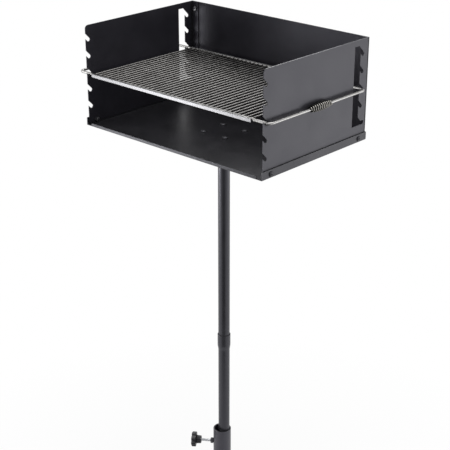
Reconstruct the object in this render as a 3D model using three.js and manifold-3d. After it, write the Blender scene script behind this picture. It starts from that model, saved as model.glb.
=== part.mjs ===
// Park bbq grill on a pole: fire box, lift-out grate with coil grips, two-piece pole, ground sleeve.
// Millimetres, +Z up, +X to the user's right, the open side of the fire box faces -Y.
// The origin is the centre of the underside of the sleeve's base plate.

import * as THREE from 'three';
import Module from 'manifold-3d';
import { mergeVertices } from 'three/addons/utils/BufferGeometryUtils.js';

const wasm = await Module();
wasm.setup();

// Shared sizes
const fit_gap = 0.3;
const overrun = 5;
const sheet = 2;
const fold_radius = 2.4;

// Fire box
const box_width = 610;
const box_depth = 404;
const panel_top = 266.2;
const tray_flange_height = 21;
const tray_lip_height = 8.2;
const tray_lip_end_gap = 16;
const tray_corner_slit = 0.5;
const panel_front_setback = 5.5;
const panel_corner_radius = 10;
const panel_rear_flange = 25;

// Grate levels, cut in both side panels
const level_count = 5;
const level_pitch = 44.5;
const lowest_level_height = 45;
const notch_radius = 5;
const notch_depth = 9.5;
const slot_width = 24;
const slot_rear_margin = 30.7;
const slot_top_height = 250.7;
const slot_foot_length = 24.5;

// Grate
const grate_level = 3;
const rod_radius = 3.5;
const rod_bend_radius = 12;
const side_rod_gap = 20.6;
const grate_side_shift = 13.1;
const grate_side_margin = 25.5;
const bar_radius = 2.5;
const bar_pitch = 14.6;
const bar_top_drop = 0.4;
const frame_bar_height = 9;
const frame_bar_thickness = 3;
const frame_bar_top_drop = 0.6;

// Coil grips on the side rods
const grip_wire_radius = 1.5;
const grip_radius = 10.3;
const grip_pitch = 4.9;
const grip_turns = 16;
const grip_rear_shift = 3.4;

// Small screws of the fire box
const screw_radius = 3;
const screw_head_radius = 6;
const screw_head_height = 3.4;
const screw_head_edge = 1.2;
const screw_nut_flats = 10;
const screw_nut_height = 5;
const screw_tip = 2;
const head_shoulder_height_share = 2 / 3;
const side_screw_inset = 32;
const side_screw_height = 10;
const back_screw_inset = 15;
const back_screw_top_drop = 19;

// Plate that joins the pole to the tray, and its bolts
const plate_width = 100;
const plate_thickness = 4;
const plate_corner_radius = 8;
const plate_bolt_spacing = 76;
const plate_bolt_radius = 4;
const plate_bolt_head_radius = 9;
const plate_bolt_head_height = 4.4;
const plate_bolt_head_edge = 1.4;
const plate_nut_flats = 13;
const plate_nut_height = 6.5;
const plate_bolt_tip = 3;

// Pole
const tube_radius = 16;
const tube_wall = 1.6;
const upper_tube_length = 623.8;
const lower_tube_length = 661;
const bell_wall = 1.8;
const bell_length = 32;
const bell_taper = 18;
const bell_mouth_roll = 0.8;

// Ground sleeve
const sleeve_radius = 25.4;
const sleeve_wall = 3.5;
const sleeve_length = 350;
const base_plate_width = 90;
const base_plate_thickness = 4;
const base_plate_corner = 6;

// Clamp
const clamp_drop = 46;
const clamp_bearing = THREE.MathUtils.degToRad(215);
const stem_radius = 4;
const stem_thread_in_knob = 18;
const stem_tip_gap = 1;
const clamp_nut_flats = 14;
const clamp_nut_height = 8;
const knob_reach = 61.5;
const knob_hub_radius = 12.5;
const knob_hub_length = 14.5;
const knob_hub_draft = 1.2;
const knob_rim_length = 13;
const knob_radius = 22;
const knob_lobe_depth = 4.2;
const knob_edge = 2.2;
const knob_lobes = 7;
const knob_valley_power = 4;

// Facets
const round_sides = 36;
const screw_sides = 16;
const rod_sides = 10;
const bar_sides = 8;
const corner_steps = 5;
const wire_sides = 5;
const curl_steps = 8;
const lobe_steps = 10;

// Places worked out from the sizes
const half_width = box_width / 2;
const half_depth = box_depth / 2;
const panel_bottom = sheet + fit_gap;
const panel_outer_x = half_width - sheet - fit_gap;
const panel_inner_x = panel_outer_x - sheet;
const panel_front_y = -half_depth + panel_front_setback;
const back_panel_y = half_depth - sheet - fit_gap - sheet / 2;
const panel_rear_y = back_panel_y - sheet / 2 - fit_gap;
const panel_flange_y = panel_rear_y - sheet;
const slot_rear_y = panel_rear_y - slot_rear_margin;
const slot_front_y = slot_rear_y - slot_width;
const level_bottoms = Array.from({ length: level_count }, (_, i) => lowest_level_height + i * level_pitch);
const rod_height = level_bottoms[grate_level - 1] + rod_radius + fit_gap;
const front_rod_y = panel_front_y + notch_depth;
const rear_rod_y = slot_rear_y + notch_depth;
const side_rod_x = panel_outer_x + side_rod_gap + rod_radius;
const grate_half_span = panel_inner_x - grate_side_margin;
const side_screw_y = half_depth - side_screw_inset;
const back_screw_x = panel_outer_x - back_screw_inset;
const back_screw_heights = [side_screw_height, panel_top - back_screw_top_drop];
const back_joints = [['lower', 3], ['upper', 2]];

const tube_bore_radius = tube_radius - tube_wall;
const bell_bore_radius = tube_radius + fit_gap;
const bell_radius = bell_bore_radius + bell_wall;
const bell_seat_share = (bell_bore_radius - tube_radius) / (bell_bore_radius - tube_bore_radius);
const bell_seat_depth = bell_length + bell_taper * bell_seat_share - fit_gap;
const sleeve_bore_radius = sleeve_radius - sleeve_wall;
const sleeve_bottom = base_plate_thickness + fit_gap;
const sleeve_top = sleeve_bottom + sleeve_length;
const clamp_height = sleeve_top - clamp_drop;
const pole_offset = sleeve_bore_radius - tube_radius - fit_gap;
const pole_x = -pole_offset * Math.cos(clamp_bearing);
const pole_y = -pole_offset * Math.sin(clamp_bearing);
const lower_tube_bottom = base_plate_thickness + fit_gap;
const bell_rim = lower_tube_bottom + lower_tube_length;
const upper_tube_bottom = bell_rim - bell_seat_depth;
const plate_bottom = upper_tube_bottom + upper_tube_length + fit_gap;
const tray_bottom = plate_bottom + plate_thickness + fit_gap;

// Finishes
const powder_black = { color: 0x1f1f21, roughness: 0.5, metalness: 0.1 };
const tube_black = { color: 0x29292b, roughness: 0.42, metalness: 0.1 };
const bright_rod = { color: 0xc9cacc, roughness: 0.22, metalness: 1 };
const coil_wire = { color: 0x8d8a84, roughness: 0.32, metalness: 1 };
const zinc = { color: 0xb4b6b8, roughness: 0.35, metalness: 1 };
const knob_plastic = { color: 0x151516, roughness: 0.45, metalness: 0 };

const deg90 = Math.PI / 2;
const deg45 = Math.PI / 4;
const deg135 = deg90 + deg45;

// Solids and booleans

function solid(geometry) {
  const bare = geometry.clone();
  bare.deleteAttribute('normal');
  bare.deleteAttribute('uv');
  const merged = mergeVertices(bare, 1e-4);
  return new wasm.Manifold(new wasm.Mesh({
    numProp: 3,
    vertProperties: new Float32Array(merged.attributes.position.array),
    triVerts: new Uint32Array(merged.index.array),
  }));
}

function geometry_of(body) {
  const mesh = body.getMesh();
  const geometry = new THREE.BufferGeometry();
  geometry.setAttribute('position', new THREE.BufferAttribute(mesh.vertProperties, 3));
  geometry.setIndex(new THREE.BufferAttribute(mesh.triVerts, 1));
  geometry.computeVertexNormals();
  return geometry;
}

function cut(geometry, tools) {
  return geometry_of(tools.reduce((body, tool) => body.subtract(solid(tool)), solid(geometry)));
}

function join(geometries) {
  const [first, ...rest] = geometries.map(solid);
  return geometry_of(rest.reduce((body, next) => body.add(next), first));
}

// Plain forms

function block(size, centre) {
  return new THREE.BoxGeometry(...size).translate(...centre);
}

// A flat outline in (y, z), made thick along X about x = 0
function extrude_along_x(shape, thickness) {
  const turn = new THREE.Matrix4().makeBasis(
    new THREE.Vector3(0, 1, 0),
    new THREE.Vector3(0, 0, 1),
    new THREE.Vector3(1, 0, 0),
  );
  return prism(shape, thickness).applyMatrix4(turn).translate(-thickness / 2, 0, 0);
}

// A flat outline in (x, z), made thick along Y about y = 0
function extrude_along_y(shape, thickness) {
  return prism(shape, thickness).rotateX(deg90).translate(0, thickness / 2, 0);
}

// A flat outline in (x, y), made thick along +Z from z = 0
function prism(shape, thickness) {
  return new THREE.ExtrudeGeometry(shape, {
    depth: thickness,
    bevelEnabled: false,
    curveSegments: corner_steps,
  });
}

// A round bar centred on the origin
function bar_along_z(radius, length, sides) {
  return new THREE.CylinderGeometry(radius, radius, length, sides).rotateX(deg90);
}

function bar_along_y(radius, length, sides) {
  return new THREE.CylinderGeometry(radius, radius, length, sides);
}

function bar_along_x(radius, length, sides) {
  return new THREE.CylinderGeometry(radius, radius, length, sides).rotateZ(deg90);
}

// A turned form about Z from a profile of [radius, height] points
function turned(profile, sides) {
  const points = profile.map(([radius, height]) => new THREE.Vector2(radius, height));
  return new THREE.LatheGeometry(points, sides).rotateX(deg90);
}

function rounded_square(side, radius) {
  const half = side / 2;
  const inner = half - radius;
  const shape = new THREE.Shape();
  shape.absarc(inner, inner, radius, 0, deg90, false);
  shape.absarc(-inner, inner, radius, deg90, Math.PI, false);
  shape.absarc(-inner, -inner, radius, Math.PI, Math.PI + deg90, false);
  shape.absarc(inner, -inner, radius, Math.PI + deg90, Math.PI * 2, false);
  return shape;
}

function hexagon(flats) {
  const corner = flats / 2 / Math.cos(Math.PI / 6);
  const shape = new THREE.Shape();
  for (let i = 0; i < 6; i += 1) {
    const angle = (i + 0.5) * Math.PI / 3;
    const place = [corner * Math.cos(angle), corner * Math.sin(angle)];
    if (i === 0) {
      shape.moveTo(...place);
    } else {
      shape.lineTo(...place);
    }
  }
  return shape;
}

function square_places(spacing) {
  const half = spacing / 2;
  return [[-half, -half], [half, -half], [half, half], [-half, half]];
}

// Named meshes

function piece(name, geometry, finish, place = [0, 0, 0]) {
  const mesh = new THREE.Mesh(geometry, new THREE.MeshStandardMaterial(finish));
  mesh.name = name;
  mesh.position.set(...place);
  return mesh;
}

// Screws: the axis is Z, the underside of the head lies at z = 0 and the shank runs to -Z

function screw(radius, head_radius, head_height, head_edge, shank) {
  return turned([
    [0, -shank],
    [radius, -shank],
    [radius, 0],
    [head_radius, 0],
    [head_radius, head_edge],
    [(head_radius + radius) / 2, head_edge + (head_height - head_edge) * head_shoulder_height_share],
    [0, head_height],
  ], screw_sides);
}

function hex_nut(flats, height, bore_radius) {
  const shape = hexagon(flats);
  const hole = new THREE.Path();
  hole.absarc(0, 0, bore_radius, 0, Math.PI * 2, true);
  shape.holes.push(hole);
  return new THREE.ExtrudeGeometry(shape, {
    depth: height,
    bevelEnabled: false,
    curveSegments: screw_sides,
  });
}

function small_screw(grip_length) {
  const shank = grip_length + 2 * fit_gap + screw_nut_height + screw_tip;
  return screw(screw_radius, screw_head_radius, screw_head_height, screw_head_edge, shank);
}

function small_nut() {
  return hex_nut(screw_nut_flats, screw_nut_height, screw_radius + fit_gap);
}

// Puts a screw and its nut in a group that is turned so that the screw points along the wall's normal
function screw_set(names, place, turn, grip_length) {
  const group = new THREE.Group();
  group.position.set(...place);
  group.rotation.set(...turn);
  group.add(piece(names[0], small_screw(grip_length), zinc, [0, 0, fit_gap]));
  const nut_z = -grip_length - fit_gap - screw_nut_height;
  group.add(piece(names[1], small_nut(), zinc, [0, 0, nut_z]));
  return group;
}

// Tray: a folded sheet with tall flanges left, right and rear, and a low front lip

function fold_rounder(length) {
  const shape = new THREE.Shape();
  shape.moveTo(-overrun, -overrun);
  shape.lineTo(fold_radius, -overrun);
  shape.lineTo(fold_radius, 0);
  shape.absarc(fold_radius, fold_radius, fold_radius, -deg90, -Math.PI, true);
  shape.lineTo(-overrun, fold_radius);
  return extrude_along_y(shape, length);
}

function tray() {
  const inner_width = box_width - 2 * sheet;
  const hollow_height = tray_flange_height - sheet + overrun;
  const hollow = block(
    [inner_width, box_depth - 2 * sheet, hollow_height],
    [0, 0, sheet + hollow_height / 2],
  );
  const front_y = -half_depth + sheet / 2 - overrun / 2;
  const front_height = tray_flange_height - tray_lip_height + overrun;
  const front_opening = block(
    [inner_width, sheet + overrun, front_height],
    [0, front_y, tray_lip_height + front_height / 2],
  );
  const reliefs = [-1, 1].map((side) => block(
    [tray_lip_end_gap, sheet + overrun, hollow_height],
    [side * (inner_width - tray_lip_end_gap) / 2, front_y, sheet + hollow_height / 2],
  ));
  const slits = [-1, 1].map((side) => block(
    [tray_corner_slit, sheet + overrun, hollow_height],
    [side * (inner_width - tray_corner_slit) / 2, half_depth - sheet / 2 + overrun / 2,
      sheet + hollow_height / 2],
  ));
  const rounders = [
    fold_rounder(box_depth + overrun).translate(-half_width, 0, 0),
    fold_rounder(box_depth + overrun).rotateZ(Math.PI).translate(half_width, 0, 0),
    fold_rounder(box_width + overrun).rotateZ(deg90).translate(0, -half_depth, 0),
    fold_rounder(box_width + overrun).rotateZ(-deg90).translate(0, half_depth, 0),
  ];
  const hole_radius = screw_radius + fit_gap;
  const side_holes = [-1, 1].map((side) => bar_along_x(hole_radius, box_width + overrun, screw_sides)
    .translate(0, side * side_screw_y, side_screw_height));
  const back_holes = [-1, 1].map((side) => bar_along_y(hole_radius, sheet + overrun, screw_sides)
    .translate(side * back_screw_x, half_depth - sheet / 2, side_screw_height));
  const plate_holes = square_places(plate_bolt_spacing).map(([x, y]) => (
    bar_along_z(plate_bolt_radius + fit_gap, sheet + overrun, screw_sides).translate(x, y, sheet / 2)));
  const blank = block([box_width, box_depth, tray_flange_height], [0, 0, tray_flange_height / 2]);
  return cut(blank, [
    hollow, front_opening, ...reliefs, ...slits, ...rounders, ...side_holes, ...back_holes, ...plate_holes,
  ]);
}

// Side panel: five front notches, a rear slot with four notches and a level foot, and a rear flange

const notch_reach = notch_radius * Math.SQRT1_2;
const notch_mouth_top = notch_depth + notch_radius * (1 + Math.SQRT2);
const notch_mouth_bottom = notch_mouth_top - 2 * notch_radius * Math.SQRT2;

function add_front_notch(shape, level_bottom) {
  const centre_y = panel_front_y + notch_depth;
  const centre_z = level_bottom + notch_radius;
  shape.lineTo(panel_front_y, level_bottom + notch_mouth_top);
  shape.lineTo(centre_y + notch_reach, centre_z + notch_reach);
  shape.absarc(centre_y, centre_z, notch_radius, deg45, -deg135, true);
  shape.lineTo(panel_front_y, level_bottom + notch_mouth_bottom);
}

function add_slot_notch(path, level_bottom, mouth_top) {
  const centre_y = slot_rear_y + notch_depth;
  const centre_z = level_bottom + notch_radius;
  path.lineTo(slot_rear_y, level_bottom + notch_mouth_bottom);
  path.lineTo(centre_y - notch_reach, centre_z - notch_reach);
  path.absarc(centre_y, centre_z, notch_radius, -deg135, deg45, false);
  path.lineTo(slot_rear_y - mouth_top, level_bottom + notch_mouth_top + mouth_top);
}

// At the lowest level the slot's floor runs on rearwards as a level foot with a round end
function add_slot_foot(path) {
  const centre_y = slot_rear_y + slot_foot_length - notch_radius;
  const centre_z = lowest_level_height + notch_radius;
  const foot_height = 2 * notch_radius;
  path.lineTo(centre_y, lowest_level_height);
  path.absarc(centre_y, centre_z, notch_radius, -deg90, deg90, false);
  path.lineTo(slot_rear_y + notch_mouth_top - foot_height, lowest_level_height + foot_height);
  path.lineTo(slot_rear_y, lowest_level_height + notch_mouth_top);
}

function level_slot() {
  const path = new THREE.Path();
  const [, ...upper_levels] = level_bottoms;
  path.moveTo(slot_front_y, lowest_level_height);
  add_slot_foot(path);
  upper_levels.forEach((level_bottom, i) => {
    const is_top = i === upper_levels.length - 1;
    const mouth_top = is_top ? slot_top_height - level_bottom - notch_mouth_top : 0;
    add_slot_notch(path, level_bottom, mouth_top);
  });
  path.lineTo(slot_front_y, slot_top_height);
  path.closePath();
  return path;
}

function side_panel_outline() {
  const shape = new THREE.Shape();
  const corner_y = panel_front_y + panel_corner_radius;
  const corner_z = panel_top - panel_corner_radius;
  shape.moveTo(panel_front_y, panel_bottom);
  shape.lineTo(panel_rear_y - fold_radius, panel_bottom);
  shape.lineTo(panel_rear_y - fold_radius, panel_top);
  shape.lineTo(corner_y, panel_top);
  shape.absarc(corner_y, corner_z, panel_corner_radius, deg90, Math.PI, false);
  [...level_bottoms].reverse().forEach((level_bottom) => add_front_notch(shape, level_bottom));
  shape.closePath();
  shape.holes.push(level_slot());
  return shape;
}

// The rear fold in plan, with the outer face of the panel at x = 0 and the flange towards -X
function rear_fold_outline() {
  const shape = new THREE.Shape();
  shape.moveTo(-sheet, panel_rear_y - fold_radius - sheet);
  shape.lineTo(0, panel_rear_y - fold_radius - sheet);
  shape.absarc(-fold_radius, panel_rear_y - fold_radius, fold_radius, 0, deg90, false);
  shape.lineTo(-panel_rear_flange, panel_rear_y);
  shape.lineTo(-panel_rear_flange, panel_flange_y);
  shape.lineTo(-sheet, panel_flange_y);
  shape.closePath();
  return shape;
}

function side_panel(side) {
  const plate = extrude_along_x(side_panel_outline(), sheet).translate(side * (panel_outer_x - sheet / 2), 0, 0);
  const fold = prism(rear_fold_outline(), panel_top - panel_bottom).translate(0, 0, panel_bottom);
  if (side < 0) {
    fold.rotateY(Math.PI).translate(0, 0, panel_top + panel_bottom);
  }
  fold.translate(side * panel_outer_x, 0, 0);
  const hole_radius = screw_radius + fit_gap;
  const flange_y = panel_rear_y - sheet / 2;
  const side_holes = [-1, 1].map((end) => bar_along_x(hole_radius, sheet + overrun, screw_sides)
    .translate(side * (panel_outer_x - sheet / 2), end * side_screw_y, side_screw_height));
  const back_holes = back_screw_heights.map((height) => bar_along_y(hole_radius, sheet + overrun, screw_sides)
    .translate(side * back_screw_x, flange_y, height));
  return cut(join([plate, fold]), [...side_holes, ...back_holes]);
}

// Back panel: a flat sheet behind the two rear flanges

function back_panel() {
  const shape = new THREE.Shape();
  shape.moveTo(-panel_outer_x, panel_bottom);
  shape.lineTo(panel_outer_x, panel_bottom);
  shape.lineTo(panel_outer_x, panel_top);
  shape.lineTo(-panel_outer_x, panel_top);
  shape.closePath();
  const holes = back_screw_heights.flatMap((height) => [-1, 1].map((side) => (
    bar_along_y(screw_radius + fit_gap, sheet + overrun, screw_sides).translate(side * back_screw_x, 0, height))));
  return cut(extrude_along_y(shape, sheet), holes);
}

// Fire box

function fire_box() {
  const group = new THREE.Group();
  group.position.set(pole_x, pole_y, tray_bottom);
  group.add(piece('firebox_tray', tray(), powder_black));
  group.add(piece('left_side_panel', side_panel(-1), powder_black));
  group.add(piece('right_side_panel', side_panel(1), powder_black));
  group.add(piece('back_panel', back_panel(), powder_black, [0, back_panel_y, 0]));

  const side_grip = 2 * sheet + fit_gap;
  [['left', -1], ['right', 1]].forEach(([side_name, side]) => {
    [['front', -1], ['rear', 1]].forEach(([end_name, end]) => {
      const names = [`${side_name}_${end_name}_side_bolt`, `${side_name}_${end_name}_side_nut`];
      const place = [side * half_width, end * side_screw_y, side_screw_height];
      group.add(screw_set(names, place, [0, side * deg90, 0], side_grip));
    });
    back_joints.forEach(([end_name, sheet_count], i) => {
      const names = [`${side_name}_${end_name}_back_bolt`, `${side_name}_${end_name}_back_nut`];
      const grip_length = sheet_count * sheet + (sheet_count - 1) * fit_gap;
      const place = [side * back_screw_x, panel_flange_y + grip_length, back_screw_heights[i]];
      group.add(screw_set(names, place, [-deg90, 0, 0], grip_length));
    });
  });
  return group;
}

// Plate under the tray

function pole_flange() {
  const shape = rounded_square(plate_width, plate_corner_radius);
  const holes = square_places(plate_bolt_spacing).map(([x, y]) => (
    bar_along_z(plate_bolt_radius + fit_gap, plate_thickness + overrun, screw_sides)
      .translate(x, y, plate_thickness / 2)));
  return cut(prism(shape, plate_thickness), holes);
}

function pole_joint() {
  const group = new THREE.Group();
  group.position.set(pole_x, pole_y, plate_bottom);
  group.add(piece('pole_flange', pole_flange(), powder_black));
  const head_z = plate_thickness + fit_gap + sheet + fit_gap;
  const nut_z = -fit_gap - plate_nut_height;
  const shank = head_z - nut_z + plate_bolt_tip;
  const bolt = screw(plate_bolt_radius, plate_bolt_head_radius, plate_bolt_head_height, plate_bolt_head_edge, shank);
  const nut = hex_nut(plate_nut_flats, plate_nut_height, plate_bolt_radius + fit_gap);
  square_places(plate_bolt_spacing).forEach(([x, y], i) => {
    group.add(piece(`flange_bolt_${i + 1}`, bolt.clone(), zinc, [x, y, head_z]));
    group.add(piece(`flange_nut_${i + 1}`, nut.clone(), zinc, [x, y, nut_z]));
  });
  return group;
}

// Pole tubes

function upper_tube() {
  return turned([
    [tube_bore_radius, 0],
    [tube_radius, 0],
    [tube_radius, upper_tube_length],
    [tube_bore_radius, upper_tube_length],
    [tube_bore_radius, 0],
  ], round_sides);
}

function lower_tube() {
  const taper_top = lower_tube_length - bell_length;
  const taper_bottom = taper_top - bell_taper;
  return turned([
    [tube_bore_radius, 0],
    [tube_radius, 0],
    [tube_radius, taper_bottom],
    [bell_radius, taper_top],
    [bell_radius, lower_tube_length - bell_mouth_roll],
    [bell_radius - bell_mouth_roll, lower_tube_length],
    [bell_bore_radius, lower_tube_length],
    [bell_bore_radius, taper_top],
    [tube_bore_radius, taper_bottom],
    [tube_bore_radius, 0],
  ], round_sides);
}

// Ground sleeve with a hole for the clamp stem

function sleeve() {
  const tube = turned([
    [sleeve_bore_radius, 0],
    [sleeve_radius, 0],
    [sleeve_radius, sleeve_length],
    [sleeve_bore_radius, sleeve_length],
    [sleeve_bore_radius, 0],
  ], round_sides);
  const hole = bar_along_x(stem_radius + fit_gap, sleeve_radius + overrun, screw_sides)
    .translate((sleeve_radius + overrun) / 2, 0, clamp_height - sleeve_bottom)
    .rotateZ(clamp_bearing);
  return cut(tube, [hole]);
}

// Clamp: in a group whose +Z points outwards along the stem, from the sleeve's axis

function clamp_stem() {
  const tip = tube_radius - pole_offset + stem_tip_gap;
  const length = knob_reach + stem_thread_in_knob - tip;
  return bar_along_z(stem_radius, length, screw_sides).translate(0, 0, tip + length / 2);
}

function knob_rim_outline(inset) {
  const points = [];
  const steps = knob_lobes * lobe_steps;
  for (let i = 0; i < steps; i += 1) {
    const angle = i * 2 * Math.PI / steps;
    const dip = knob_lobe_depth * Math.sin(knob_lobes * angle / 2) ** knob_valley_power;
    const radius = knob_radius - dip - inset;
    points.push([radius * Math.cos(angle), radius * Math.sin(angle)]);
  }
  return points;
}

// Stacked outlines of equal point count, closed at both ends by a fan to the axis
function stacked(layers) {
  const count = layers[0].outline.length;
  const positions = [];
  const index = [];
  layers.forEach(({ outline, height }) => outline.forEach(([x, y]) => positions.push(x, y, height)));
  positions.push(0, 0, layers[0].height, 0, 0, layers[layers.length - 1].height);
  const bottom_centre = layers.length * count;
  const top_centre = bottom_centre + 1;
  for (let i = 0; i < count; i += 1) {
    const next = (i + 1) % count;
    for (let layer = 0; layer < layers.length - 1; layer += 1) {
      const low = layer * count;
      const high = low + count;
      index.push(low + i, low + next, high + next, low + i, high + next, high + i);
    }
    const top = (layers.length - 1) * count;
    index.push(bottom_centre, next, i, top_centre, top + i, top + next);
  }
  const geometry = new THREE.BufferGeometry();
  geometry.setAttribute('position', new THREE.Float32BufferAttribute(positions, 3));
  geometry.setIndex(index);
  return geometry;
}

function clamp_knob() {
  const rim = stacked([
    { outline: knob_rim_outline(knob_edge), height: knob_hub_length },
    { outline: knob_rim_outline(0), height: knob_hub_length + knob_edge },
    { outline: knob_rim_outline(0), height: knob_hub_length + knob_rim_length - knob_edge },
    { outline: knob_rim_outline(knob_edge), height: knob_hub_length + knob_rim_length },
  ]);
  const hub = turned([
    [0, 0],
    [knob_hub_radius - knob_hub_draft, 0],
    [knob_hub_radius, knob_hub_length + knob_edge],
    [0, knob_hub_length + knob_edge],
  ], round_sides);
  const bore_depth = stem_thread_in_knob + fit_gap;
  const bore = bar_along_z(stem_radius + fit_gap, bore_depth + overrun, screw_sides)
    .translate(0, 0, (bore_depth - overrun) / 2);
  return cut(join([rim, hub]), [bore]);
}

function clamp() {
  const group = new THREE.Group();
  group.position.set(0, 0, clamp_height);
  group.rotation.set(0, deg90, clamp_bearing, 'ZYX');
  const nut = hex_nut(clamp_nut_flats, clamp_nut_height, stem_radius + fit_gap);
  group.add(piece('clamp_nut', nut, tube_black, [0, 0, sleeve_radius + fit_gap]));
  group.add(piece('clamp_stem', clamp_stem(), zinc));
  group.add(piece('clamp_knob', clamp_knob(), knob_plastic, [0, 0, knob_reach]));
  return group;
}

// Round tube through a list of centres, with a ring at each; the ends are flat unless it is closed

function swept_tube(centres, tangents, normals, radius, sides, closed) {
  const positions = [];
  const index = [];
  centres.forEach((centre, i) => {
    const binormal = new THREE.Vector3().crossVectors(tangents[i], normals[i]).normalize();
    for (let k = 0; k < sides; k += 1) {
      const angle = k * 2 * Math.PI / sides;
      const point = centre.clone()
        .addScaledVector(normals[i], radius * Math.cos(angle))
        .addScaledVector(binormal, radius * Math.sin(angle));
      positions.push(point.x, point.y, point.z);
    }
  });
  const spans = closed ? centres.length : centres.length - 1;
  for (let i = 0; i < spans; i += 1) {
    const here = i * sides;
    const there = ((i + 1) % centres.length) * sides;
    for (let k = 0; k < sides; k += 1) {
      const next = (k + 1) % sides;
      index.push(here + k, here + next, there + next, here + k, there + next, there + k);
    }
  }
  if (!closed) {
    const last = (centres.length - 1) * sides;
    for (let k = 1; k < sides - 1; k += 1) {
      index.push(0, k + 1, k, last, last + k, last + k + 1);
    }
  }
  const geometry = new THREE.BufferGeometry();
  geometry.setAttribute('position', new THREE.Float32BufferAttribute(positions, 3));
  geometry.setIndex(index);
  return geometry;
}

// Grate: a closed loop of rod whose front and rear runs lie in the notches, with bars between them

function grate_loop() {
  const centres = [];
  const tangents = [];
  const normals = [];
  const middle_y = (front_rod_y + rear_rod_y) / 2;
  const half_x = side_rod_x - rod_bend_radius;
  const half_y = (rear_rod_y - front_rod_y) / 2 - rod_bend_radius;
  [[1, 1], [-1, 1], [-1, -1], [1, -1]].forEach(([side_x, side_y], corner) => {
    for (let step = 0; step <= corner_steps; step += 1) {
      const angle = corner * deg90 + step / corner_steps * deg90;
      const outward = new THREE.Vector3(Math.cos(angle), Math.sin(angle), 0);
      centres.push(new THREE.Vector3(side_x * half_x, middle_y + side_y * half_y, 0)
        .addScaledVector(outward, rod_bend_radius));
      tangents.push(new THREE.Vector3(-outward.y, outward.x, 0));
      normals.push(outward);
    }
  });
  return swept_tube(centres, tangents, normals, rod_radius, rod_sides, true);
}

function cooking_grate() {
  const span = 2 * (grate_half_span - bar_radius);
  const bar_count = Math.floor(span / bar_pitch) + 1;
  const bar_length = rear_rod_y - front_rod_y;
  const bar_z = rod_radius - bar_radius - bar_top_drop;
  const bars = [];
  for (let i = 0; i < bar_count; i += 1) {
    const x = (i - (bar_count - 1) / 2) * bar_pitch;
    bars.push(bar_along_y(bar_radius, bar_length, bar_sides)
      .rotateY(Math.PI / bar_sides)
      .translate(x, (front_rod_y + rear_rod_y) / 2, bar_z));
  }
  return join([grate_loop(), ...bars]);
}

// Coil grip: one wire wound as a barrel about Y, close to the rod at both ends

function coil_grip() {
  const end_radius = (rod_radius + fit_gap + grip_wire_radius) / Math.cos(Math.PI / curl_steps);
  const middle_radius = grip_radius - grip_wire_radius;
  const steps = grip_turns * curl_steps;
  const length = grip_turns * grip_pitch;
  const centres = [];
  for (let i = 0; i <= steps; i += 1) {
    const share = i / steps;
    const radius = end_radius + (middle_radius - end_radius) * Math.sin(Math.PI * share);
    const angle = i / curl_steps * 2 * Math.PI;
    centres.push(new THREE.Vector3(
      radius * Math.cos(angle), (share - 1 / 2) * length, radius * Math.sin(angle)));
  }
  const lead = centres[0].clone().sub(centres[1]).setLength(2 * grip_wire_radius).add(centres[0]);
  const tail = centres[steps].clone().sub(centres[steps - 1]).setLength(2 * grip_wire_radius)
    .add(centres[steps]);
  centres.unshift(lead);
  centres.push(tail);
  const tangents = centres.map((_, i) => {
    const before = centres[Math.max(i - 1, 0)];
    const after = centres[Math.min(i + 1, centres.length - 1)];
    return after.clone().sub(before).normalize();
  });
  const normals = centres.map((centre, i) => {
    const radial = new THREE.Vector3(centre.x, 0, centre.z);
    return radial.addScaledVector(tangents[i], -radial.dot(tangents[i])).normalize();
  });
  report_least_gap('coil grip', centres);
  return swept_tube(centres, tangents, normals, grip_wire_radius, wire_sides, false);
}

// Prints the least gap between turns, measured on the wire's centres more than half a turn apart
function report_least_gap(name, centres) {
  let least = Infinity;
  for (let i = 0; i < centres.length; i += 1) {
    for (let j = i + curl_steps / 2; j < centres.length; j += 1) {
      least = Math.min(least, centres[i].distanceTo(centres[j]));
    }
  }
  console.log(`${name}: least gap to itself ${(least - 2 * grip_wire_radius).toFixed(2)} mm`);
}

// Flat bar that stands on edge along the outside of the loop's front or rear run
function frame_bar() {
  return block([2 * grate_half_span, frame_bar_thickness, frame_bar_height], [0, 0, 0]);
}

// The grate lies off centre, slid to the left until its right grip is close to the panel
function grate() {
  const group = new THREE.Group();
  group.position.set(pole_x - grate_side_shift, pole_y, tray_bottom + rod_height);
  group.add(piece('cooking_grate', cooking_grate(), bright_rod));
  const frame_bar_y = rod_radius + fit_gap + frame_bar_thickness / 2;
  const frame_bar_z = rod_radius - frame_bar_top_drop - frame_bar_height / 2;
  group.add(piece('front_frame_bar', frame_bar(), bright_rod, [0, front_rod_y - frame_bar_y, frame_bar_z]));
  group.add(piece('rear_frame_bar', frame_bar(), bright_rod, [0, rear_rod_y + frame_bar_y, frame_bar_z]));
  const grip_y = (front_rod_y + rear_rod_y) / 2 + grip_rear_shift;
  [['left', -1], ['right', 1]].forEach(([name, side]) => {
    group.add(piece(`${name}_coil_grip`, coil_grip(), coil_wire, [side * side_rod_x, grip_y, 0]));
  });
  return group;
}

// The whole object

const grill = new THREE.Group();
grill.name = 'park_grill';
grill.add(fire_box());
grill.add(pole_joint());
grill.add(grate());
grill.add(piece('upper_pole_tube', upper_tube(), tube_black, [pole_x, pole_y, upper_tube_bottom]));
grill.add(piece('lower_pole_tube', lower_tube(), tube_black, [pole_x, pole_y, lower_tube_bottom]));
grill.add(piece('ground_sleeve', sleeve(), tube_black, [0, 0, sleeve_bottom]));
grill.add(piece('sleeve_base_plate', prism(rounded_square(base_plate_width, base_plate_corner), base_plate_thickness),
  tube_black));
grill.add(clamp());

export default grill;
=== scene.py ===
"""Looks for the park grill: a black fire box with a lift-out grate, on a slim pole in a ground sleeve."""

import math

import bmesh
import bpy
from mathutils import Matrix, Vector


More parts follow.
